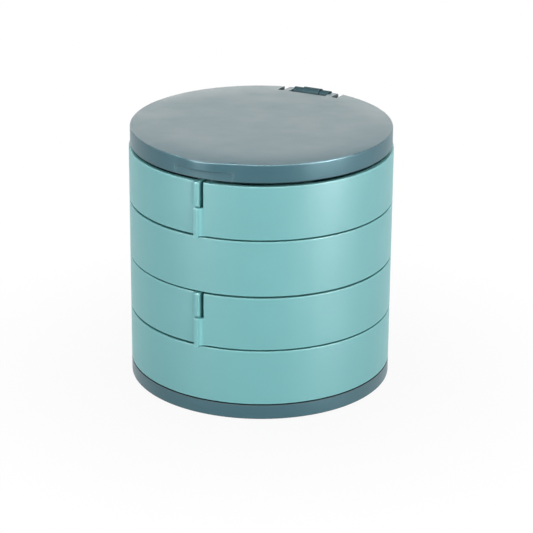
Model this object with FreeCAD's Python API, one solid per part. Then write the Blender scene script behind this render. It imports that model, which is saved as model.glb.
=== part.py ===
import FreeCAD, Part
import math
import os

os.makedirs("parts", exist_ok=True)

V = FreeCAD.Vector
UP = V(0, 0, 1)

# Driving dimensions in millimetres, angles in degrees
# Front of the case is -Y, the pivot posts and the lid hinge are at +Y, the case stands on z = 0

# Round case
case_radius = 50.0
base_height = 6.05
foot_height = 0.3
fixed_tray_height = 21.25
half_tray_height = 20.4

# Tray walls
tray_wall = 1.7
tray_floor = 1.6
edge_break = 0.25
floor_break = 1.0
divider_thickness = 1.3
divider_height = 13.0

# Half-moon trays
half_gap = 1.3
front_corner = 0.4
inner_corner = 1.2
gap_under_half = 0.6
gap_over_half = 0.7

# The left halves rest this much higher in their play than the right halves
left_half_rise = 0.2

# Compartments of the half-moon trays, measured from the middle of the case
front_divider_y = -16.0
ring_divider_y = 6.0
rear_divider_y = 12.0

# Pivot posts, their sleeves and the ears that turn on them
post_radius = 2.0
post_end_gap = 0.3
post_end_break = 0.3
sleeve_wall = 1.45
boss_wall = 2.1
ear_wall = 3.45
fit_clearance = 0.05

# Grips beside the front seam
grip_step = 10.7
grip_step_gap = 0.3
grip_root_share = 0.7
bar_end_round = 0.4
rib_width = 4.4
rib_reach = 0.95
rib_end_round = 0.5
tab_lap = 2.6
tab_root = 2.6
tab_thickness = 0.85
tab_clearance = 0.4
tab_hang = 0.8
tab_bar_width = 1.7
tab_bar_thickness = 1.2
tab_bar_lift = 0.1

# Poles of the rib's outline, from the seam outwards, as shares of its width and reach
rib_poles = [(0.0, 0.2), (0.0, 1.1), (0.25, 1.1), (0.5, 1.1), (0.62, 0.0), (1.0, 0.0)]

# Poles of the tab's outline, as shares of its root on the right or its lap on the left, and of its reach
tab_poles = [(1.0, -0.3), (0.55, 0.0), (0.25, 0.1), (0.0, 0.6), (-0.15, 0.9), (-0.35, 1.0)]

# Ring bars
bar_count = 7
bar_thickness = 3.0
bar_slot = 2.4
bar_height = 9.0

# Base
base_wall = 2.0
base_plate = 2.2
base_foot_break = 0.3
spigot_inset = 4.0
spigot_height = 0.8
spigot_clearance = 0.2
base_rib_count = 8
base_rib_thickness = 1.4
base_rib_lift = 0.6
groove_height = 0.45
groove_depth = 1.2
hub_radius = 11.0

# Rubber feet
foot_count = 4
foot_radius = 4.5
foot_inset = 9.0
foot_seat_depth = 0.8

# Screws
screw_radius = 1.25
screw_length = 7.4
screw_tip_break = 0.6
screw_head_radius = 2.7
screw_head_height = 1.3
screw_head_break = 0.7
screw_head_sink = 0.2
screw_floor = 1.4
key_sides = 6
key_radius = 0.9
key_depth = 0.8
front_screw_inset = 7.5
front_screw_angle = 22.5

# Lid
lid_inset = 0.5
lid_gap = 1.2
lid_height = 6.85
lid_wall = 1.8
lid_plate = 1.6
lid_crown = 0.5
lid_crown_width = 12.0
lid_edge_round = 0.5
lid_foot_break = 0.3

# Thumb lip on the lid and the finger recess under it
lip_half_angle = 14.5
lip_reach = 1.45
lip_height = 3.6
recess_half_angle = 14.2
recess_end_angle = 0.9
recess_depth = 0.45

# Poles of the lip's right half, as shares of its half angle and reach
lip_poles = [(0.3, 1.1), (0.62, 0.2), (0.85, 0.0), (1.0, -0.03)]

# Mirror in the lid
mirror_inset = 9.7
mirror_thickness = 1.3
mirror_bevel = 0.5
tape_thickness = 0.3
tape_inset = 3.0
mirror_clearance = 0.2
mirror_ring_wall = 1.2
mirror_ring_lap = 0.1

# Lid hinge
hinge_inset = 3.6
hinge_drop = 2.1
barrel_radius = 3.0
barrel_length = 15.0
barrel_gap = 2.0
band_rise = 0.4
band_length = 7.1
pin_radius = 1.25
arm_gap = 0.3
arm_width = 2.5
arm_ring_wall = 1.2
slot_width = 2.4
bridge_thickness = 2.0
bridge_ear_radius = 4.6
bridge_screw_sink = 0.9
web_thickness = 3.6
gusset_top_depth = 1.8
stop_width = 9.0
stop_depth = 2.6
stop_gap = 0.3

# How far a cut runs past what it cuts
cut_over = 1.0

# Places worked out from the driving dimensions
sleeve_radius = post_radius + fit_clearance + sleeve_wall
ear_bore = sleeve_radius + fit_clearance
ear_radius = ear_bore + ear_wall
boss_radius = ear_bore + boss_wall
post_x = half_gap / 2 + ear_radius
post_y = math.sqrt((case_radius - ear_radius) ** 2 - post_x ** 2)
base_top = foot_height + base_height
spigot_radius = case_radius - spigot_inset
lower_fixed_z = base_top
lower_half_z = lower_fixed_z + fixed_tray_height + gap_under_half
upper_fixed_z = lower_half_z + half_tray_height + gap_over_half
upper_half_z = upper_fixed_z + fixed_tray_height + gap_under_half
bridge_z = upper_half_z + half_tray_height + gap_over_half
bridge_top_z = bridge_z + bridge_thickness
lid_z = upper_half_z + half_tray_height + lid_gap
lid_edge_z = lid_z + lid_height
lid_top_z = lid_edge_z + lid_crown
lid_under_z = lid_top_z - lid_plate
lid_radius = case_radius - lid_inset
mirror_radius = lid_radius - lid_wall - mirror_inset
hinge_y = case_radius - hinge_inset
hinge_z = lid_edge_z - hinge_drop
band_radius = barrel_radius + band_rise
arm_ring_radius = pin_radius + fit_clearance + arm_ring_wall
notch_y = hinge_y - band_radius - barrel_gap
screw_seat_z = foot_height + screw_head_sink + screw_head_height
post_bottom_z = screw_seat_z + screw_floor
post_top_z = bridge_z - post_end_gap
grip_root = -tray_wall * grip_root_share


def point(angle, radius, z=0.0):
    """Point at an angle about the case axis, 0 at the front and growing to the right."""
    turn = math.radians(angle)
    return V(radius * math.sin(turn), -radius * math.cos(turn), z)


def cylinder(radius, height, x=0.0, y=0.0, z=0.0, axis=UP):
    return Part.makeCylinder(radius, height, V(x, y, z), axis)


def box(x0, x1, y0, y1, z0, z1):
    return Part.makeBox(x1 - x0, y1 - y0, z1 - z0, V(x0, y0, z0))


def line(a, b):
    return Part.LineSegment(a, b).toShape()


def arc(a, b, c):
    return Part.Arc(a, b, c).toShape()


def curve(poles):
    """Smooth curve drawn towards its poles; it leaves and arrives along the end poles."""
    spline = Part.BSplineCurve()
    spline.buildFromPoles(poles, False, 3)
    return spline.toShape()


def profile_point(radius, z):
    return V(radius, 0, z)


def prism(wire, height):
    return Part.Face(wire).extrude(V(0, 0, height))


def revolved(edges):
    face = Part.Face(Part.Wire(edges))
    return face.revolve(V(0, 0, 0), UP, 360)


def flat_edges(shape, z):
    """Edges that lie level at a height."""
    near = 1e-3
    level = [e for e in shape.Edges if e.BoundBox.ZLength < near]
    return [e for e in level if abs(e.BoundBox.ZMin - z) < near]


def spline_edges(shape):
    """Edges along a freely curved outline."""
    return [e for e in shape.Edges if isinstance(e.Curve, Part.BSplineCurve)]


def joined(shape, *others):
    return shape.fuse(list(others)).removeSplitter()


def at_posts(maker):
    return [maker(side * post_x) for side in (-1, 1)]


# Fixed trays

def round_tray_profile(floor_lift):
    """Full-round tray without its dividers; its floor may be lifted over the spigot of the base."""
    p = profile_point
    height = fixed_tray_height
    foot = case_radius - edge_break
    inner = case_radius - tray_wall
    floor_top = tray_floor + floor_lift
    edges = [
        line(p(foot, 0), p(case_radius, edge_break)),
        line(p(case_radius, edge_break), p(case_radius, height - edge_break)),
        line(p(case_radius, height - edge_break), p(foot, height)),
        line(p(foot, height), p(inner, height)),
        line(p(inner, height), p(inner, floor_top + floor_break)),
        line(p(inner, floor_top + floor_break), p(inner - floor_break, floor_top)),
        line(p(inner - floor_break, floor_top), p(0, floor_top)),
        line(p(0, floor_top), p(0, floor_lift)),
    ]
    if floor_lift > 0:
        recess = spigot_radius + spigot_clearance
        edges += [
            line(p(0, floor_lift), p(recess, floor_lift)),
            line(p(recess, floor_lift), p(recess, 0)),
            line(p(recess, 0), p(foot, 0)),
        ]
    else:
        edges += [line(p(0, 0), p(foot, 0))]
    return revolved(edges)


def divider(a, b, floor_top):
    """Upright divider between two plan points, with a rounded top edge."""
    run = V(b[0] - a[0], b[1] - a[1], 0)
    across = V(-run.y, run.x, 0).normalize() * (divider_thickness / 2)
    start = V(a[0], a[1], floor_top - tray_floor / 2)
    top = divider_height + tray_floor / 2 - divider_thickness / 2
    low_left = start + across
    low_right = start - across
    high_left = low_left + UP * top
    high_right = low_right + UP * top
    crest = start + UP * (top + divider_thickness / 2)
    edges = [
        line(low_left, low_right),
        line(low_right, high_right),
        arc(high_right, crest, high_left),
        line(high_left, low_left),
    ]
    return Part.Face(Part.Wire(edges)).extrude(run)


def fixed_tray(dividers, floor_lift, screw_bosses):
    """Full-round tray with a boss round each post, from its foot at z = 0."""
    inside = cylinder(case_radius - tray_wall / 2, fixed_tray_height - floor_lift, z=floor_lift)
    bosses = at_posts(lambda x: cylinder(boss_radius, fixed_tray_height, x, post_y))
    walls = [divider(a, b, tray_floor + floor_lift) for a, b in dividers]
    fittings = [f.common(inside) for f in bosses + walls]
    tray = joined(round_tray_profile(floor_lift), *fittings, *screw_bosses)
    bores = at_posts(lambda x: cylinder(post_radius + fit_clearance, fixed_tray_height, x, post_y))
    return tray.cut(bores)


def front_screw_places():
    ring = case_radius - front_screw_inset
    return [point(side * front_screw_angle, ring) for side in (-1, 1)]


def lower_tray():
    """Bottom tray: sits over the spigot of the base and takes the two front screws."""
    hole_top = screw_seat_z + screw_length + fit_clearance - base_top
    boss_height = hole_top + tray_floor - spigot_height
    boss = screw_radius + boss_wall
    hole = screw_radius + fit_clearance
    bosses = [cylinder(boss, boss_height, p.x, p.y, spigot_height) for p in front_screw_places()]
    cross = [((-case_radius, 0), (case_radius, 0))]
    tray = fixed_tray(cross, spigot_height, bosses)
    return tray.cut([cylinder(hole, hole_top, p.x, p.y) for p in front_screw_places()])


def upper_tray():
    """Third tray up: a cross wall and a front wall make three compartments."""
    dividers = [((-case_radius, 0), (case_radius, 0)), ((0, -case_radius), (0, 0))]
    return fixed_tray(dividers, 0.0, [])


# Half-moon trays

def half_outline(side, inset, corner, z):
    """Half-moon outline drawn in by inset: front corner, case arc, ear round the post, flat side."""
    arc_radius = case_radius - inset
    ear = ear_radius - inset
    flat_x = half_gap / 2 + inset
    corner_x = flat_x + corner
    corner_y = -math.sqrt((arc_radius - corner) ** 2 - corner_x ** 2)
    front = math.atan2(corner_y, corner_x)
    rear = math.atan2(post_y, post_x)

    def at(x, y, radius, turn):
        return V(side * (x + radius * math.cos(turn)), y + radius * math.sin(turn), z)

    corner_start = at(corner_x, corner_y, corner, math.pi)
    corner_mid = at(corner_x, corner_y, corner, (front - math.pi) / 2)
    arc_start = at(0, 0, arc_radius, front)
    arc_mid = at(0, 0, arc_radius, (front + rear) / 2)
    arc_end = at(0, 0, arc_radius, rear)
    ear_mid = at(post_x, post_y, ear, (rear + math.pi) / 2)
    ear_end = at(post_x, post_y, ear, math.pi)
    return Part.Wire([
        arc(corner_start, corner_mid, arc_start),
        arc(arc_start, arc_mid, arc_end),
        arc(arc_end, ear_mid, ear_end),
        line(ear_end, corner_start),
    ])


def half_block(side):
    """Outer form of a half-moon tray, with its foot and rim edges broken."""
    block = prism(half_outline(side, 0, front_corner, 0), half_tray_height)
    edges = flat_edges(block, 0) + flat_edges(block, half_tray_height)
    return block.makeChamfer(edge_break, edges)


def half_hollow(side):
    """Inside of a half-moon tray, with a sloped floor corner, less the boss round the post."""
    wire = half_outline(side, tray_wall, inner_corner, tray_floor)
    hollow = prism(wire, half_tray_height)
    hollow = hollow.makeChamfer(floor_break, flat_edges(hollow, tray_floor))
    return hollow.cut(cylinder(boss_radius, tray_floor + half_tray_height, side * post_x, post_y))


def half_core(side):
    """Inside of a half-moon tray grown into its walls, which trims the dividers to length."""
    wire = half_outline(side, tray_wall / 2, inner_corner, tray_floor / 2)
    return prism(wire, half_tray_height - tray_floor / 2 - edge_break)


def front_point(across, proud, z):
    """Point by the front seam: across to the right along the wall, proud of the case radius."""
    return point(math.degrees(across / case_radius), case_radius + proud, z)


def seam_rib(z0, height):
    """Proud rib on the left half beside the seam, which runs smoothly into the wall on its left."""
    edge = -half_gap / 2
    foot = edge - rib_width
    outline = [front_point(edge - rib_width * a, rib_reach * b, z0) for a, b in rib_poles]
    back = front_point(edge, grip_root, z0)
    far = front_point(foot, grip_root, z0)
    wire = Part.Wire([
        curve(outline),
        line(outline[-1], far),
        line(far, back),
        line(back, outline[0]),
    ])
    rib = prism(wire, height)
    return rib.makeFillet(rib_end_round, spline_edges(rib))


def seam_tab(z0, height):
    """Tab on the right half: it fills the seam and then laps over the left half."""
    edge = tab_clearance - half_gap / 2
    inner = tab_clearance
    outer = tab_clearance + tab_thickness
    nose = tab_thickness / 2
    tip = tab_bar_width / 2 - tab_lap
    outline = [front_point(a * (tab_root if a > 0 else tab_lap), outer * b, z0) for a, b in tab_poles]
    outline.append(front_point(tip + nose, outer, z0))
    lap_start = front_point(tip + nose, inner, z0)
    lap_end = front_point(edge, inner, z0)
    back = front_point(edge, grip_root, z0)
    far = front_point(tab_root, grip_root, z0)
    wire = Part.Wire([
        curve(outline),
        arc(outline[-1], front_point(tip, inner + nose, z0), lap_start),
        arc(lap_start, front_point((tip + nose + edge) / 2, inner, z0), lap_end),
        line(lap_end, back),
        line(back, far),
        line(far, outline[0]),
    ])
    return prism(wire, height)


def tab_bar():
    """Round bar down the tab's free edge, proud of the tab, which hangs over the seam below it."""
    nose = tab_bar_thickness / 2
    middle = tab_clearance + tab_bar_lift + nose
    left = -tab_lap + nose
    right = -tab_lap + tab_bar_width - nose
    low = -tab_hang
    wire = Part.Wire([
        arc(
            front_point(left, middle - nose, low),
            front_point(left - nose, middle, low),
            front_point(left, middle + nose, low),
        ),
        line(front_point(left, middle + nose, low), front_point(right, middle + nose, low)),
        arc(
            front_point(right, middle + nose, low),
            front_point(right + nose, middle, low),
            front_point(right, middle - nose, low),
        ),
        line(front_point(right, middle - nose, low), front_point(left, middle - nose, low)),
    ])
    bar = prism(wire, tab_hang + grip_step)
    return bar.makeFillet(bar_end_round, flat_edges(bar, low) + flat_edges(bar, grip_step))


def seam_grip(side):
    """The grip of one half: a rib above the step on the left, a tab below it on the right."""
    if side < 0:
        start = grip_step + grip_step_gap
        return [seam_rib(start, half_tray_height - edge_break / 2 - start)]
    return [seam_tab(0, grip_step), tab_bar()]


def half_tray(side, fittings):
    """Half-moon tray with its ear bored for the sleeve, from its foot at z = 0."""
    tray = half_block(side).cut(half_hollow(side))
    core = half_core(side)
    tray = joined(tray, *[f.common(core) for f in fittings], *seam_grip(side))
    return tray.cut(cylinder(ear_bore, half_tray_height, side * post_x, post_y))


def cross_wall(side, y):
    """Divider from the flat side of a half-moon tray out to its round wall."""
    return divider((0, y), (side * case_radius, y), tray_floor)


def ring_bar(side, y):
    """One bar of the ring holder, with a rounded top, along X."""
    half = bar_thickness / 2
    top = tray_floor + bar_height - half
    low = tray_floor / 2
    edges = [
        line(V(0, y - half, low), V(0, y + half, low)),
        line(V(0, y + half, low), V(0, y + half, top)),
        arc(V(0, y + half, top), V(0, y, top + half), V(0, y - half, top)),
        line(V(0, y - half, top), V(0, y - half, low)),
    ]
    return Part.Face(Part.Wire(edges)).extrude(V(side * case_radius, 0, 0))


def ring_bars(side, rear_y):
    """Bars side by side with slots between them, forward from rear_y."""
    pitch = bar_thickness + bar_slot
    return [ring_bar(side, rear_y - pitch * (i + 0.5)) for i in range(bar_count)]


def upper_left_tray():
    fittings = [cross_wall(-1, ring_divider_y)] + ring_bars(-1, ring_divider_y)
    return half_tray(-1, fittings)


def upper_right_tray():
    return half_tray(1, [cross_wall(1, front_divider_y), cross_wall(1, rear_divider_y)])


def lower_left_tray():
    return half_tray(-1, [cross_wall(-1, rear_divider_y)])


def lower_right_tray():
    return half_tray(1, [cross_wall(1, rear_divider_y)])


# Base with its feet and screws

def base_shell():
    """Shallow inverted pan with a locating spigot on its top and a shadow groove round its rim."""
    p = profile_point
    inner = case_radius - base_wall
    under = base_top - base_plate
    top = base_top
    spigot_top = top + spigot_height
    low = foot_height
    r = base_foot_break
    groove_low = top - groove_height
    groove_radius = case_radius - groove_depth
    return revolved([
        line(p(0, under), p(inner, under)),
        line(p(inner, under), p(inner, low)),
        line(p(inner, low), p(case_radius - r, low)),
        line(p(case_radius - r, low), p(case_radius, low + r)),
        line(p(case_radius, low + r), p(case_radius, groove_low)),
        line(p(case_radius, groove_low), p(groove_radius, groove_low)),
        line(p(groove_radius, groove_low), p(groove_radius, top)),
        line(p(groove_radius, top), p(spigot_radius, top)),
        line(p(spigot_radius, top), p(spigot_radius, spigot_top)),
        line(p(spigot_radius, spigot_top), p(0, spigot_top)),
        line(p(0, spigot_top), p(0, under)),
    ])


def base_ribs():
    """Hub ring and radial ribs under the plate."""
    low = foot_height + base_rib_lift
    tall = base_top - base_plate / 2 - low
    outer = case_radius - base_wall / 2
    half = base_rib_thickness / 2
    step = 360.0 / base_rib_count
    hub = cylinder(hub_radius, tall, z=low).cut(cylinder(hub_radius - base_rib_thickness, tall, z=low))
    rib = box(hub_radius - half, outer, -half, half, low, low + tall)
    ribs = [rib.rotated(V(0, 0, 0), UP, step * (i + 0.5)) for i in range(base_rib_count)]
    return [hub] + ribs


def foot_places():
    step = 360.0 / foot_count
    return [point(step * (i + 0.5), case_radius - foot_inset) for i in range(foot_count)]


def base_screw_places():
    return at_posts(lambda x: V(x, post_y, 0)) + front_screw_places()


def base():
    """Base with ribs, foot seats, screw seats and a blind socket for each post."""
    boss_height = base_height - base_plate / 2
    foot_boss = foot_radius + base_rib_thickness
    screw_boss = screw_head_radius + fit_clearance + base_rib_thickness
    bosses = [cylinder(foot_boss, boss_height, p.x, p.y, foot_height) for p in foot_places()]
    bosses += [cylinder(screw_boss, boss_height, p.x, p.y, foot_height) for p in base_screw_places()]
    rim = cylinder(case_radius - base_wall / 2, base_top)
    shape = joined(base_shell(), *[s.common(rim) for s in base_ribs() + bosses])
    cuts = []
    for p in foot_places():
        cuts.append(cylinder(foot_radius + fit_clearance, foot_seat_depth, p.x, p.y, foot_height))
    for p in base_screw_places():
        cuts.append(cylinder(screw_head_radius + fit_clearance, screw_seat_z, p.x, p.y))
        cuts.append(cylinder(screw_radius + fit_clearance, base_top + spigot_height, p.x, p.y))
    cuts += at_posts(lambda x: cylinder(post_radius + fit_clearance, base_top, x, post_y, post_bottom_z))
    return shape.cut(cuts)


def foot(p):
    pad = cylinder(foot_radius, foot_height + foot_seat_depth, p.x, p.y)
    return pad.makeChamfer(foot_height / 2, flat_edges(pad, 0))


def screw(x, y, seat_z, up):
    """Flat-headed screw with a hexagon socket; up is 1 when its shank points up."""
    r = screw_head_radius
    h = screw_head_height
    b = screw_head_break
    shank = screw_radius
    tip = screw_length - screw_tip_break
    p = profile_point
    shape = revolved([
        line(p(0, -h), p(r - b, -h)),
        line(p(r - b, -h), p(r, b - h)),
        line(p(r, b - h), p(r, 0)),
        line(p(r, 0), p(shank, 0)),
        line(p(shank, 0), p(shank, tip)),
        line(p(shank, tip), p(shank - screw_tip_break, screw_length)),
        line(p(shank - screw_tip_break, screw_length), p(0, screw_length)),
        line(p(0, screw_length), p(0, -h)),
    ])
    corners = [point(360.0 * i / key_sides, key_radius, -h) for i in range(key_sides + 1)]
    shape = shape.cut(prism(Part.makePolygon(corners), key_depth))
    if up < 0:
        shape = shape.rotated(V(0, 0, 0), V(1, 0, 0), 180)
    return shape.translated(V(x, y, seat_z))


def base_screws():
    return [screw(p.x, p.y, screw_seat_z, 1) for p in base_screw_places()]


# Posts and sleeves

def post(x):
    """Steel post with a tapped hole in each end and chamfered ends."""
    rod = cylinder(post_radius, post_top_z - post_bottom_z, x, post_y, post_bottom_z)
    ends = flat_edges(rod, post_bottom_z) + flat_edges(rod, post_top_z)
    rod = rod.makeChamfer(post_end_break, ends)
    deep = screw_length + fit_clearance
    starts = (post_bottom_z, post_top_z - deep)
    return rod.cut([cylinder(screw_radius + fit_clearance, deep, x, post_y, z) for z in starts])


def sleeve(x, half_z):
    """Bearing sleeve that a half-moon tray turns on; it keeps the fixed pieces apart."""
    z = half_z - gap_under_half
    tall = half_tray_height + gap_under_half + gap_over_half
    tube = cylinder(sleeve_radius, tall, x, post_y, z)
    return tube.cut(cylinder(post_radius + fit_clearance, tall, x, post_y, z))


# Hinge bridge on top of the posts

def hinge_bridge():
    """Plate over both posts that carries the lid's hinge barrel and its two stub pins."""
    half = barrel_length / 2
    rear = hinge_y + barrel_radius
    reach = half + arm_gap + arm_width
    along = V(1, 0, 0)
    ears = at_posts(lambda x: cylinder(bridge_ear_radius, bridge_thickness, x, post_y, bridge_z))
    front = post_y - bridge_ear_radius
    strap = box(-post_x, post_x, front, post_y + bridge_ear_radius, bridge_z, bridge_top_z)
    heel = box(-half, half, post_y, rear, bridge_z, bridge_top_z)
    web = box(-half, half, rear - web_thickness, rear, bridge_z, hinge_z)
    barrel = cylinder(barrel_radius, barrel_length, -half, hinge_y, hinge_z, along)
    band = cylinder(band_radius, band_length, -band_length / 2, hinge_y, hinge_z, along)
    pins = cylinder(pin_radius, 2 * reach, -reach, hinge_y, hinge_z, along)
    shape = joined(strap, *ears, heel, web, barrel, band, pins, bridge_gusset())
    hole = screw_radius + fit_clearance
    seat = screw_head_radius + fit_clearance
    seat_z = bridge_top_z - bridge_screw_sink
    cuts = at_posts(lambda x: cylinder(hole, bridge_thickness, x, post_y, bridge_z))
    cuts += at_posts(lambda x: cylinder(seat, bridge_screw_sink, x, post_y, seat_z))
    return shape.cut(cuts)


def bridge_gusset():
    """Sloping rib in front of the web, between the two screws."""
    x = -band_length / 2
    slope_top = hinge_z - barrel_radius / 2
    wire = Part.makePolygon([
        V(x, hinge_y - barrel_radius, bridge_top_z),
        V(x, hinge_y, bridge_top_z),
        V(x, hinge_y, slope_top),
        V(x, hinge_y - gusset_top_depth, slope_top),
        V(x, hinge_y - barrel_radius, bridge_top_z),
    ])
    return Part.Face(wire).extrude(V(band_length, 0, 0))


def bridge_screws():
    return at_posts(lambda x: screw(x, post_y, bridge_top_z - bridge_screw_sink, -1))


# Lid with its mirror

def lid_form():
    """Outside of the lid as a full solid: flat middle, faint crown, rounded edge."""
    p = profile_point
    r = lid_radius
    e = lid_edge_round
    f = lid_foot_break
    flat = r - lid_crown_width
    bulge = e / math.sqrt(2)
    crown_radius = (lid_crown_width ** 2 + lid_crown ** 2) / (2 * lid_crown)
    mid = (lid_crown_width - e) / 2
    mid_z = lid_top_z - mid ** 2 / (2 * crown_radius)
    end_z = lid_top_z - (2 * mid) ** 2 / (2 * crown_radius)
    return revolved([
        line(p(0, lid_z), p(r - f, lid_z)),
        line(p(r - f, lid_z), p(r, lid_z + f)),
        line(p(r, lid_z + f), p(r, end_z - e)),
        arc(p(r, end_z - e), p(r - e + bulge, end_z - e + bulge), p(r - e, end_z)),
        arc(p(r - e, end_z), p(flat + mid, mid_z), p(flat, lid_top_z)),
        line(p(flat, lid_top_z), p(0, lid_top_z)),
        line(p(0, lid_top_z), p(0, lid_z)),
    ])


def thumb_lip():
    """Crescent lip that swells out of the lid's top edge over the front seam."""
    low = lid_edge_z - lip_height
    root = lid_radius - lid_wall / 2
    poles = [(-turn, proud) for turn, proud in reversed(lip_poles)] + lip_poles
    outline = [point(lip_half_angle * a, lid_radius + lip_reach * b, low) for a, b in poles]
    left = point(-lip_half_angle, root, low)
    right = point(lip_half_angle, root, low)
    wire = Part.Wire([
        curve(outline),
        line(outline[-1], right),
        arc(right, point(0, root, low), left),
        line(left, outline[0]),
    ])
    lip = prism(wire, lip_height)
    return lip.makeFillet(lid_edge_round, spline_edges(lip))


def grip_recess():
    """Shallow finger recess under the thumb lip, with sloped ends."""
    low = lid_z - cut_over
    tall = lid_edge_z - lip_height - low
    inner = lid_radius - recess_depth
    outer = lid_radius + lip_reach
    a = recess_half_angle
    b = a - recess_end_angle
    wire = Part.Wire([
        arc(point(-a, outer, low), point(0, outer, low), point(a, outer, low)),
        line(point(a, outer, low), point(a, lid_radius, low)),
        line(point(a, lid_radius, low), point(b, inner, low)),
        arc(point(b, inner, low), point(0, inner, low), point(-b, inner, low)),
        line(point(-b, inner, low), point(-a, lid_radius, low)),
        line(point(-a, lid_radius, low), point(-a, outer, low)),
    ])
    return prism(wire, tall)


def lid_arm(side):
    """Hinge arm: a strip of the lid's top that ends in a ring round the stub pin."""
    start = barrel_length / 2 + arm_gap
    x = side * start if side > 0 else -(start + arm_width)
    foot_turn = arm_ring_radius / math.sqrt(2)
    ring_low = V(x, hinge_y - foot_turn, hinge_z - foot_turn)
    root = V(x, notch_y - lid_plate / 2, lid_under_z)
    above = lid_top_z + lid_crown
    wire = Part.makePolygon([
        root,
        ring_low,
        V(x, hinge_y, hinge_z),
        V(x, hinge_y, above),
        V(x, root.y, above),
        root,
    ])
    strip = Part.Face(wire).extrude(V(arm_width, 0, 0))
    ring = cylinder(arm_ring_radius, arm_width, x, hinge_y, hinge_z, V(1, 0, 0))
    return joined(strip, ring)


def lid_hollow():
    """Inside of the lid, with a sloped corner under the plate."""
    low = lid_z - cut_over
    hollow = cylinder(lid_radius - lid_wall, lid_under_z - low, z=low)
    return hollow.makeChamfer(floor_break, flat_edges(hollow, lid_under_z))


def mirror_ring():
    """Low ring under the plate that holds the mirror's edge."""
    bore = mirror_radius + mirror_clearance
    low = lid_under_z - tape_thickness - mirror_thickness - mirror_ring_lap
    ring = cylinder(bore + mirror_ring_wall, lid_under_z + lid_plate / 2 - low, z=low)
    return ring.cut(cylinder(bore, lid_under_z - low, z=low))


def lid_stop():
    """Pad under the plate that comes to rest on the bridge when the lid is closed."""
    half = stop_width / 2
    low = bridge_top_z + stop_gap
    return box(-half, half, notch_y - stop_depth, notch_y, low, lid_under_z + lid_plate / 2)


def lid():
    """Lid with its lip, mirror ring and stop, notched at the back for the barrel between two arms."""
    shape = joined(lid_form().cut(lid_hollow()).cut(grip_recess()), thumb_lip(), mirror_ring(), lid_stop())
    half = barrel_length / 2 + arm_gap + arm_width + slot_width
    notch = box(-half, half, notch_y, case_radius + cut_over, lid_z - cut_over, lid_top_z + cut_over)
    arms = [lid_arm(side).common(lid_form()) for side in (-1, 1)]
    shape = joined(shape.cut(notch), *arms)
    return shape.cut(cylinder(pin_radius + fit_clearance, 2 * half, -half, hinge_y, hinge_z, V(1, 0, 0)))


def mirror():
    z = lid_under_z - tape_thickness - mirror_thickness
    disc = cylinder(mirror_radius, mirror_thickness, z=z)
    return disc.makeChamfer(mirror_bevel, flat_edges(disc, z))


def mirror_tape():
    return cylinder(mirror_radius - tape_inset, tape_thickness, z=lid_under_z - tape_thickness)


def write(name, *solids):
    shape = solids[0] if len(solids) == 1 else Part.makeCompound(list(solids))
    shape.exportStep("parts/" + name + ".step")


def lifted(shape, z):
    return shape.translated(V(0, 0, z))


write("base", base())
write("base_feet", *[foot(p) for p in foot_places()])
write("base_screws", *base_screws())
write("lower_tray", lifted(lower_tray(), lower_fixed_z))
write("lower_left_tray", lifted(lower_left_tray(), lower_half_z + left_half_rise))
write("lower_right_tray", lifted(lower_right_tray(), lower_half_z))
write("upper_tray", lifted(upper_tray(), upper_fixed_z))
write("upper_left_tray", lifted(upper_left_tray(), upper_half_z + left_half_rise))
write("upper_right_tray", lifted(upper_right_tray(), upper_half_z))
write("left_post", post(-post_x))
write("right_post", post(post_x))
write("lower_left_sleeve", sleeve(-post_x, lower_half_z))
write("lower_right_sleeve", sleeve(post_x, lower_half_z))
write("upper_left_sleeve", sleeve(-post_x, upper_half_z))
write("upper_right_sleeve", sleeve(post_x, upper_half_z))
write("hinge_bridge", hinge_bridge())
write("bridge_screws", *bridge_screws())
write("lid", lid())
write("mirror", mirror())
write("mirror_tape", mirror_tape())
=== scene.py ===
import math

import bpy
import numpy as np
from mathutils import Matrix, Vector


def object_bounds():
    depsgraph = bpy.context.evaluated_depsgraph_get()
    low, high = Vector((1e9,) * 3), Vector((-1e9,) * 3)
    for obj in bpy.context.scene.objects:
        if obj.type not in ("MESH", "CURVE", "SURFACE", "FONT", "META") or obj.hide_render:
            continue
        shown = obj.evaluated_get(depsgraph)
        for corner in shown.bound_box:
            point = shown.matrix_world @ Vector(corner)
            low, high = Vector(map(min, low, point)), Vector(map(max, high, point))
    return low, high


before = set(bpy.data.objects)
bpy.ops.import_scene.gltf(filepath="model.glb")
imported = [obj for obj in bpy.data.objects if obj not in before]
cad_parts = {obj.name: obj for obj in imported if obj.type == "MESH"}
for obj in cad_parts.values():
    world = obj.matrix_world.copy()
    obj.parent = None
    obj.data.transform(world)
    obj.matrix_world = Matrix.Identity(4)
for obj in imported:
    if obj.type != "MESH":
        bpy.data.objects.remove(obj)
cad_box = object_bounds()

# Lengths are in metres and angles in degrees. Azimuths count from the front, and grow towards +X

# The camera and the lamps stand round this point
MIDDLE = Vector((0.0, 0.0, 0.05))

# Camera, with its focal length in pixels of a picture of this width
PICTURE_WIDTH = 533
FOCAL_PIXELS = 2204.7
SENSOR_WIDTH_MM = 36.0
CAMERA_AZIMUTH = 25.5
CAMERA_ELEVATION = 20.85
CAMERA_DISTANCE = 0.8473
CAMERA_ROLL = 0.41
AIM_HEIGHT = 0.0417
AIM_ASIDE = 0.00226
NEAR_CLIP = 0.05
FAR_CLIP = 20.0

# What lamps of one kind share, and the watts of the overhead ones by their azimuth from the camera's
SOFT_BOX = {"distance": 1.3, "size": (0.9, 0.7), "glossy": False}
STRIP = {"elevation": 10.0, "distance": 0.9, "diffuse": False}
OVERHEAD = {"elevation": 62.0, "distance": 0.9, "size": (0.6, 0.4), "diffuse": False}
OVERHEAD_WATTS = {-100.0: 11.0, -50.0: 11.0, 0.0: 11.0, 50.0: 8.0, 100.0: 8.0}

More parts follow.
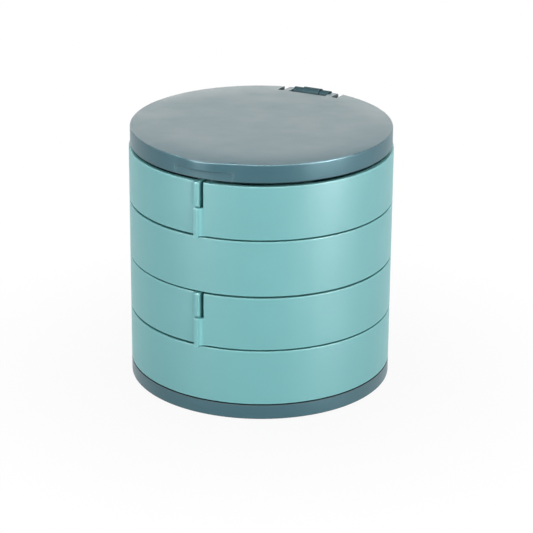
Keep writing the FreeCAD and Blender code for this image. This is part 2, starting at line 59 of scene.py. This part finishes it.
# Strength of the studio's own light, from the horizon or lower, and from straight above
AMBIENT_LOW = 1.1
AMBIENT_HIGH = 0.18

# Floor: its tone and its glow each go from one value to the other between two radii; the darker tone near
# the case is painted shade
FLOOR_REACH = 3.0
FLOOR_DROP = 0.00005
FLOOR_TONES_WITH_PAINTED_SHADE = (0.3, 0.6)
FLOOR_TONE_RADII = (0.05, 0.25)
FLOOR_GLOWS = (0.94, 1.0)
FLOOR_GLOW_RADII = (0.05, 0.14)

# Colours, linear, or the two between which a material's colour wanders
GREEN = (0.165, 0.435, 0.45)
# Painted shade: the dark colour that the green takes in its seams and hollows
GREEN_CREVICE_SHADE = (0.0, 0.16, 0.15)
SLATE = (0.042, 0.115, 0.145)
SLATE_BASE = (0.05, 0.12, 0.148)
SLATE_DARK = (0.022, 0.058, 0.072)
# Painted highlight with wear: the lighter, greyer colour of the slate's outward edges
SLATE_WORN_HIGHLIGHT = (0.11, 0.155, 0.17)
SLATE_GLOSS = (0.68, 0.95, 1.0)
IVORY = (0.8, 0.79, 0.75)
STEEL = ((0.52, 0.52, 0.53), (0.68, 0.68, 0.69))
SILVER = ((0.84, 0.87, 0.87), (0.88, 0.9, 0.9))
RUBBER = ((0.03, 0.035, 0.037), (0.05, 0.055, 0.058))
FOAM = ((0.7, 0.7, 0.67), (0.8, 0.8, 0.78))
WARM_WHITE = (1.0, 0.93, 0.86)
WHITE = (1.0, 1.0, 1.0)

# Noises: scale, detail and, where it isn't the usual one, roughness. A stretch sets the wipe marks' size
CLOUD = (45.0, 4.0)
SPECK = (1400.0, 2.0)
GLOSS_CLOUD = (120.0, 3.0)
WEAR_HIGHLIGHT_PATCH = (110.0, 3.0)
WAVE = (60.0, 1.0)
GRAIN = (2600.0, 2.0, 0.6)
WIPE_MARK = (1.0, 5.0, 0.6)

# Most of a noise lies between these values
NOISE_CORE = (0.3, 0.7)

# Scales along X, Y and Z of the noises that are stretched
WIPE_SCALES = (45.0, 80.0, 45.0)
DRAWN_SCALES = (900.0, 900.0, 40.0)

# Painted shade in seams and a painted highlight with wear on edges: reach of the occlusion, its value at
# full effect and its value at none
CREVICE_SHADE_OCCLUSION = (0.002, 0.15, 0.75)
DEEP_CREVICE_SHADE_OCCLUSION = (0.010, 0.35, 0.9)
WORN_HIGHLIGHT_EDGE = (0.0008, 0.55, 0.95)
OCCLUSION_SAMPLES = 8

# Plastics: how far each effect changes the colour, among them a painted highlight with wear on edges and
# painted shade in seams
CLOUDING = 0.05
SPECK_SHARE = 0.08
SPECK_LIFT = 1.25
WEAR_HIGHLIGHT_SHARE = 0.65
WEAR_HIGHLIGHT_LIFT = 1.6
LEAST_WEAR_HIGHLIGHT = 0.55
CREVICE_SHADE_FACTOR = 0.06

# Plastics: how far each effect changes the roughness, and the relief
GLOSS_CLOUDING = 0.05
WEAR_POLISH = 0.06
WIPED_LID = 0.035
SEAM_ROUGHNESS = 0.95
GRAIN_HEIGHT = 0.00002
WAVE_HEIGHT = 0.00004
WAVE_STRENGTH = 0.5
PLASTIC_IOR = 1.5

# Sockets of the mix node that carry colours
MIX_FIRST = 6
MIX_SECOND = 7
MIX_RESULT = 2

# Shading normals are blended up to this angle, where corners share a place to this many digits
BLEND_ANGLE = 50.0
PLACE_DIGITS = 7


class Tree:
    """The node tree of a material or world, with short ways to add and link nodes."""

    def __init__(self, owner, output):
        owner.use_nodes = True
        self.nodes = owner.node_tree.nodes
        self.links = owner.node_tree.links
        self.nodes.clear()
        self.surface = self.add(output).inputs["Surface"]

    def add(self, kind, **values):
        node = self.nodes.new(kind)
        for key, value in values.items():
            setattr(node, key, value)
        return node

    def link(self, source, target):
        self.links.new(source, target)

    def set(self, node, **values):
        """Sets sockets by their names, with _ for each space."""
        for key, value in values.items():
            node.inputs[key.replace("_", " ")].default_value = value

    def place(self):
        return self.add("ShaderNodeTexCoord").outputs["Object"]

    def noise(self, scale, detail=3.0, roughness=0.5, place=None):
        node = self.add("ShaderNodeTexNoise")
        self.set(node, Scale=scale, Detail=detail, Roughness=roughness)
        self.link(place or self.place(), node.inputs["Vector"])
        return node.outputs["Fac"]

    def span(self, value, low, high, start=0.0, end=1.0):
        """Takes start to low and end to high, and holds the result between the two."""
        node = self.add("ShaderNodeMapRange")
        self.set(node, From_Min=start, From_Max=end, To_Min=low, To_Max=high)
        self.link(value, node.inputs["Value"])
        return node.outputs["Result"]

    def mix(self, factor, first, second):
        """Mixes two colours, each a socket or a tuple of red, green and blue."""
        node = self.add("ShaderNodeMix", data_type="RGBA")
        for index, colour in ((MIX_FIRST, first), (MIX_SECOND, second)):
            if isinstance(colour, tuple):
                node.inputs[index].default_value = (*colour, 1.0)
            else:
                self.link(colour, node.inputs[index])
        self.link(factor, node.inputs["Factor"])
        return node.outputs[MIX_RESULT]

    def mix_shader(self, factor, first, second):
        """Mixes two shader nodes."""
        node = self.add("ShaderNodeMixShader")
        self.link(factor, node.inputs["Fac"])
        self.link(first.outputs[0], node.inputs[1])
        self.link(second.outputs[0], node.inputs[2])
        return node.outputs["Shader"]

    def maths(self, operation, first, second):
        """Works on two values, each a socket or a number."""
        node = self.add("ShaderNodeMath", operation=operation)
        for socket, value in zip(node.inputs, (first, second)):
            if isinstance(value, (int, float)):
                socket.default_value = value
            else:
                self.link(value, socket)
        return node.outputs["Value"]

    def bump(self, height, distance, strength=1.0, normal=None):
        node = self.add("ShaderNodeBump")
        self.set(node, Strength=strength, Distance=distance)
        self.link(height, node.inputs["Height"])
        if normal:
            self.link(normal, node.inputs["Normal"])
        return node.outputs["Normal"]

    def occlusion(self, reach, full, none, **values):
        """1 where the occlusion node's value is full or less, 0 where it is none or more."""
        node = self.add("ShaderNodeAmbientOcclusion", samples=OCCLUSION_SAMPLES, **values)
        self.set(node, Distance=reach)
        return self.span(node.outputs["AO"], 1.0, 0.0, full, none)

    def worn_highlight_edge(self):
        """0 on broad surfaces, up to 1 along outward edges, in uneven strength: where edges are lightened
        partly as wear and partly as a painted highlight.
        """
        edge = self.occlusion(*WORN_HIGHLIGHT_EDGE, inside=True, only_local=True)
        patches = self.span(self.noise(*WEAR_HIGHLIGHT_PATCH), LEAST_WEAR_HIGHLIGHT, 1.0, *NOISE_CORE)
        return self.maths("MULTIPLY", edge, patches)

    def wipe_marks(self):
        """Marks of a cloth drawn across the front, 0 to 1."""
        stretch = self.add("ShaderNodeMapping", vector_type="TEXTURE")
        turned = (0.0, 0.0, math.radians(CAMERA_AZIMUTH))
        self.set(stretch, Rotation=turned, Scale=tuple(1.0 / scale for scale in WIPE_SCALES))
        self.link(self.place(), stretch.inputs["Vector"])
        marks = self.noise(*WIPE_MARK, place=stretch.outputs["Vector"])
        return self.span(marks, 0.0, 1.0, *NOISE_CORE)

    def seen_directly(self):
        """1 for the rays that show the studio itself: camera, glossy and transmission rays."""
        path = self.add("ShaderNodeLightPath")
        seen = self.maths("MAXIMUM", path.outputs["Is Camera Ray"], path.outputs["Is Glossy Ray"])
        return self.maths("MAXIMUM", seen, path.outputs["Is Transmission Ray"])

    def principled(self, colour, roughness, normal=None, **values):
        """Makes a principled shader the surface, with the values set on its other sockets."""
        shader = self.add("ShaderNodeBsdfPrincipled")
        self.set(shader, **values)
        self.link(colour, shader.inputs["Base Color"])
        self.link(roughness, shader.inputs["Roughness"])
        if normal:
            self.link(normal, shader.inputs["Normal"])
        self.link(shader.outputs["BSDF"], self.surface)


def shade(colour, factor):
    return tuple(min(1.0, channel * factor) for channel in colour)


def moulded_plastic(name, colour, roughness, shine=0.5, gloss=WHITE, worn_highlight_colour=None, crevice_shade_colour=None,
                    crevice_shade=CREVICE_SHADE_OCCLUSION, wiped=0.0):
    """Satin moulded plastic: fine grain, faint clouding, edges lightened as wear and as a painted
    highlight, and painted shade in deep seams.
    """
    material = bpy.data.materials.new(name)
    tree = Tree(material, "ShaderNodeOutputMaterial")
    # Edges lighten partly as wear and partly as a painted highlight
    worn_highlight = tree.worn_highlight_edge()
    worn_highlight_tone = worn_highlight_colour or shade(colour, WEAR_HIGHLIGHT_LIFT)
    # Painted shade: the colour darkens where occlusion finds a seam or hollow, and the roughness rises
    # there
    painted_shade = tree.occlusion(*crevice_shade)
    painted_shade_tone = crevice_shade_colour or shade(colour, CREVICE_SHADE_FACTOR)

    tone = tree.mix(tree.noise(*CLOUD), shade(colour, 1.0 - CLOUDING), shade(colour, 1.0 + CLOUDING))
    tone = tree.mix(tree.span(tree.noise(*SPECK), 0.0, SPECK_SHARE), tone, shade(colour, SPECK_LIFT))
    tone = tree.mix(tree.maths("MULTIPLY", worn_highlight, WEAR_HIGHLIGHT_SHARE), tone, worn_highlight_tone)
    tone = tree.mix(painted_shade, tone, painted_shade_tone)

    rough = tree.span(tree.noise(*GLOSS_CLOUD), roughness - GLOSS_CLOUDING, roughness + GLOSS_CLOUDING)
    rough = tree.maths("SUBTRACT", rough, tree.maths("MULTIPLY", worn_highlight, WEAR_POLISH))
    if wiped:
        rough = tree.maths("ADD", rough, tree.span(tree.wipe_marks(), -wiped, wiped))
    rough = tree.maths("MAXIMUM", rough, tree.maths("MULTIPLY", painted_shade, SEAM_ROUGHNESS))

    relief = tree.bump(tree.noise(*WAVE), WAVE_HEIGHT, WAVE_STRENGTH)
    relief = tree.bump(tree.noise(*GRAIN), GRAIN_HEIGHT, normal=relief)

    tree.principled(tone, rough, relief, IOR=PLASTIC_IOR, Specular_IOR_Level=shine,
                    Specular_Tint=(*gloss, 1.0))
    return material


def drawn_metal(name, colours, roughness, relief):
    """Metal with fine lines along its length, in colour, gloss and relief."""
    material = bpy.data.materials.new(name)
    tree = Tree(material, "ShaderNodeOutputMaterial")
    stretch = tree.add("ShaderNodeMapping")
    tree.set(stretch, Scale=DRAWN_SCALES)
    tree.link(tree.place(), stretch.inputs["Vector"])
    lines = tree.noise(1.0, place=stretch.outputs["Vector"])
    tone = tree.mix(lines, *colours)
    rough = tree.span(lines, *roughness)
    tree.principled(tone, rough, tree.bump(lines, relief), Metallic=1.0)
    return material


def clouded_material(name, colours, colour_scale, roughness, roughness_scale, metallic=0.0,
                     relief=0.0, relief_scale=0.0):
    """Colour and roughness that each wander between two values, and a fine relief where one is given."""
    material = bpy.data.materials.new(name)
    tree = Tree(material, "ShaderNodeOutputMaterial")
    tone = tree.mix(tree.noise(colour_scale), *colours)
    rough = tree.span(tree.noise(roughness_scale), *roughness)
    normal = tree.bump(tree.noise(relief_scale), relief) if relief else None
    tree.principled(tone, rough, normal, Metallic=metallic)
    return material


def dress(material, *nodes):
    """Gives nodes of the frame one material."""
    for node in nodes:
        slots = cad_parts[node].data.materials
        slots.clear()
        slots.append(material)


def dress_case():
    """Makes each material and gives it to the nodes that wear it."""
    satin_green = {"roughness": 0.42, "shine": 0.36, "crevice_shade_colour": GREEN_CREVICE_SHADE}
    green = moulded_plastic("green_plastic_grained", GREEN, **satin_green)
    dress(green, "lower_tray", "lower_left_tray", "lower_right_tray")
    dress(green, "upper_tray", "upper_left_tray", "upper_right_tray")

    satin_slate = {"roughness": 0.38, "shine": 0.42, "gloss": SLATE_GLOSS, "worn_highlight_colour": SLATE_WORN_HIGHLIGHT}
    base_slate = moulded_plastic("slate_plastic_grained", SLATE_BASE, **satin_slate)
    lid_slate = moulded_plastic("slate_plastic_lid", SLATE, crevice_shade=DEEP_CREVICE_SHADE_OCCLUSION, wiped=WIPED_LID, **satin_slate)
    dress(base_slate, "base")
    dress(lid_slate, "lid")

    matt_slate = {"roughness": 0.6, "shine": 0.1, "gloss": SLATE_GLOSS}
    bridge_slate = moulded_plastic("slate_plastic_dark", SLATE_DARK, crevice_shade=DEEP_CREVICE_SHADE_OCCLUSION, **matt_slate)
    dress(bridge_slate, "hinge_bridge")

    ivory = moulded_plastic("white_plastic_turned", IVORY, roughness=0.4)
    dress(ivory, "lower_left_sleeve", "lower_right_sleeve", "upper_left_sleeve", "upper_right_sleeve")

    steel = drawn_metal("drawn_steel", STEEL, roughness=(0.22, 0.42), relief=0.00001)
    dress(steel, "left_post", "right_post", "base_screws", "bridge_screws")

    silvered = clouded_material("mirror_glass", SILVER, colour_scale=30.0, metallic=1.0,
                                roughness=(0.01, 0.04), roughness_scale=80.0)
    rubber = clouded_material("soft_rubber", RUBBER, colour_scale=300.0,
                              roughness=(0.65, 0.85), roughness_scale=200.0,
                              relief=0.00003, relief_scale=1500.0)
    foam = clouded_material("foam_tape", FOAM, colour_scale=500.0,
                            roughness=(0.8, 0.95), roughness_scale=200.0,
                            relief=0.00006, relief_scale=1800.0)
    dress(silvered, "mirror")
    dress(rubber, "base_feet")
    dress(foam, "mirror_tape")


def read(items, name, width=1, kind=float):
    """One attribute of all the items of a mesh, with a row for each item where it has several values."""
    values = np.zeros(len(items) * width, kind)
    items.foreach_get(name, values)
    return values.reshape(-1, width) if width > 1 else values


def round_shading(node):
    """Blends the shading normals of faces that meet at a low angle, so that broken edges look round."""
    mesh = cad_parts[node].data
    normals = read(mesh.corner_normals, "vector", 3)
    places = np.round(read(mesh.vertices, "co", 3), PLACE_DIGITS)
    spot = np.unique(places, axis=0, return_inverse=True)[1].reshape(-1)
    spot = spot[read(mesh.loops, "vertex_index", kind=int)]
    area = np.repeat(read(mesh.polygons, "area"), read(mesh.polygons, "loop_total", kind=int))
    order = np.argsort(spot, kind="stable")
    breaks = np.flatnonzero(np.diff(spot[order])) + 1
    least = math.cos(math.radians(BLEND_ANGLE))
    blended = normals.copy()
    for corners in np.split(order, breaks):
        local = normals[corners]
        near = (local @ local.T) > least
        total = (near * area[corners][None, :]) @ local
        blended[corners] = total / np.linalg.norm(total, axis=1, keepdims=True)
    mesh.normals_split_custom_set(blended.tolist())


def direction(azimuth, elevation):
    """Unit vector towards an azimuth and an elevation."""
    turn = math.radians(azimuth)
    rise = math.radians(elevation)
    return Vector((math.sin(turn) * math.cos(rise), -math.cos(turn) * math.cos(rise), math.sin(rise)))


def facing(place, aim):
    """The matrix of a camera or lamp that stands at a place and is turned to its aim."""
    return Matrix.Translation(place) @ (aim - place).to_track_quat("-Z", "Y").to_matrix().to_4x4()


def add_object(name, data):
    added = bpy.data.objects.new(name, data)
    bpy.context.scene.collection.objects.link(added)
    return added


def make_camera():
    place = MIDDLE + CAMERA_DISTANCE * direction(CAMERA_AZIMUTH, CAMERA_ELEVATION)
    aim = Vector((0.0, 0.0, AIM_HEIGHT)) + AIM_ASIDE * direction(CAMERA_AZIMUTH + 90.0, 0.0)
    data = bpy.data.cameras.new("camera")
    data.sensor_width = SENSOR_WIDTH_MM
    data.lens = FOCAL_PIXELS * SENSOR_WIDTH_MM / PICTURE_WIDTH
    data.clip_start = NEAR_CLIP
    data.clip_end = FAR_CLIP
    camera = add_object("camera", data)
    camera.matrix_world = facing(place, aim) @ Matrix.Rotation(math.radians(CAMERA_ROLL), 4, "Z")
    bpy.context.scene.camera = camera


def flag_off(lamp, node):
    """Keeps a lamp off one node, as a black flag does, so that a mirror shows the studio and no lamp."""
    flagged = bpy.data.collections.new(lamp.name + "_flag")
    flagged.objects.link(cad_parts[node])
    flagged.collection_objects[0].light_linking.link_state = "EXCLUDE"
    lamp.light_linking.receiver_collection = flagged


def add_lamp(name, aside, elevation, distance, size, watts, diffuse=True, glossy=True, colour=WHITE):
    """Area lamp at an azimuth from the camera's, turned to the middle of the case."""
    data = bpy.data.lights.new(name, "AREA")
    data.shape = "RECTANGLE"
    data.size, data.size_y = size
    data.energy = watts
    data.color = colour
    lamp = add_object(name, data)
    lamp.matrix_world = facing(MIDDLE + distance * direction(CAMERA_AZIMUTH + aside, elevation), MIDDLE)
    lamp.visible_camera = False
    lamp.visible_diffuse = diffuse
    lamp.visible_glossy = glossy
    flag_off(lamp, "mirror")


def make_lamps():
    """Soft boxes light surfaces without a highlight, and strips and overhead lamps only add highlights."""
    add_lamp("front_soft", aside=42.0, elevation=8.0, watts=9.0, **SOFT_BOX)
    add_lamp("left_soft", aside=-46.0, elevation=8.0, watts=6.3, **SOFT_BOX)
    add_lamp("back_soft", aside=178.0, elevation=6.0, watts=5.0, **SOFT_BOX)
    add_lamp("strip_right", aside=57.0, size=(0.34, 0.6), watts=43.0, **STRIP)
    add_lamp("strip_left", aside=-52.0, size=(0.24, 0.6), watts=19.0, **STRIP)
    add_lamp("backdrop_light", aside=180.0, elevation=13.0, distance=1.4, size=(1.8, 0.4), watts=4.9,
             colour=WARM_WHITE)
    for aside, watts in OVERHEAD_WATTS.items():
        add_lamp("overhead", aside=aside, watts=watts, **OVERHEAD)


def make_studio():
    """A world that lights mostly from low down, and is plain white to the rays that show it."""
    world = bpy.data.worlds.new("studio")
    bpy.context.scene.world = world
    tree = Tree(world, "ShaderNodeOutputWorld")
    ray = tree.add("ShaderNodeSeparateXYZ")
    tree.link(tree.add("ShaderNodeTexCoord").outputs["Generated"], ray.inputs["Vector"])
    ambient = tree.add("ShaderNodeBackground")
    tree.set(ambient, Color=(*WHITE, 1.0))
    tree.link(tree.span(ray.outputs["Z"], AMBIENT_LOW, AMBIENT_HIGH), ambient.inputs["Strength"])
    backdrop = tree.add("ShaderNodeBackground")
    tree.set(backdrop, Color=(*WHITE, 1.0), Strength=1.0)
    tree.link(tree.mix_shader(tree.seen_directly(), ambient, backdrop), tree.surface)


def make_floor():
    """Level sheet just under the case, which takes its shadow nearby, darkened there by painted shade in
    its tone, and glows white further out.
    """
    level = cad_box[0][2] - FLOOR_DROP
    corners = [(x * FLOOR_REACH, y * FLOOR_REACH, level) for x, y in ((-1, -1), (1, -1), (1, 1), (-1, 1))]
    mesh = bpy.data.meshes.new("floor")
    mesh.from_pydata(corners, [], [range(len(corners))])
    floor = add_object("floor", mesh)

    material = bpy.data.materials.new("pale_floor")
    tree = Tree(material, "ShaderNodeOutputMaterial")
    length = tree.add("ShaderNodeVectorMath", operation="LENGTH")
    tree.link(tree.place(), length.inputs[0])
    radius = length.outputs["Value"]
    # Painted shade: the floor's tone is darker near the case
    shaded_near_tone, far_tone = (shade(WHITE, tone) for tone in FLOOR_TONES_WITH_PAINTED_SHADE)
    tone = tree.mix(tree.span(radius, 0.0, 1.0, *FLOOR_TONE_RADII), shaded_near_tone, far_tone)
    matt = tree.add("ShaderNodeBsdfDiffuse")
    tree.link(tone, matt.inputs["Color"])
    glow = tree.add("ShaderNodeEmission")
    tree.set(glow, Strength=1.0)
    glow_share = tree.span(radius, *FLOOR_GLOWS, *FLOOR_GLOW_RADII)
    seen_share = tree.maths("MULTIPLY", glow_share, tree.seen_directly())
    tree.link(tree.mix_shader(seen_share, matt, glow), tree.surface)
    mesh.materials.append(material)


dress_case()

# The mirror keeps its own normals, because a blend would bend what its flat face shows
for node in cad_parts:
    if node != "mirror":
        round_shading(node)

make_camera()
make_lamps()
make_studio()
make_floor()
bpy.context.scene.view_settings.view_transform = "Standard"
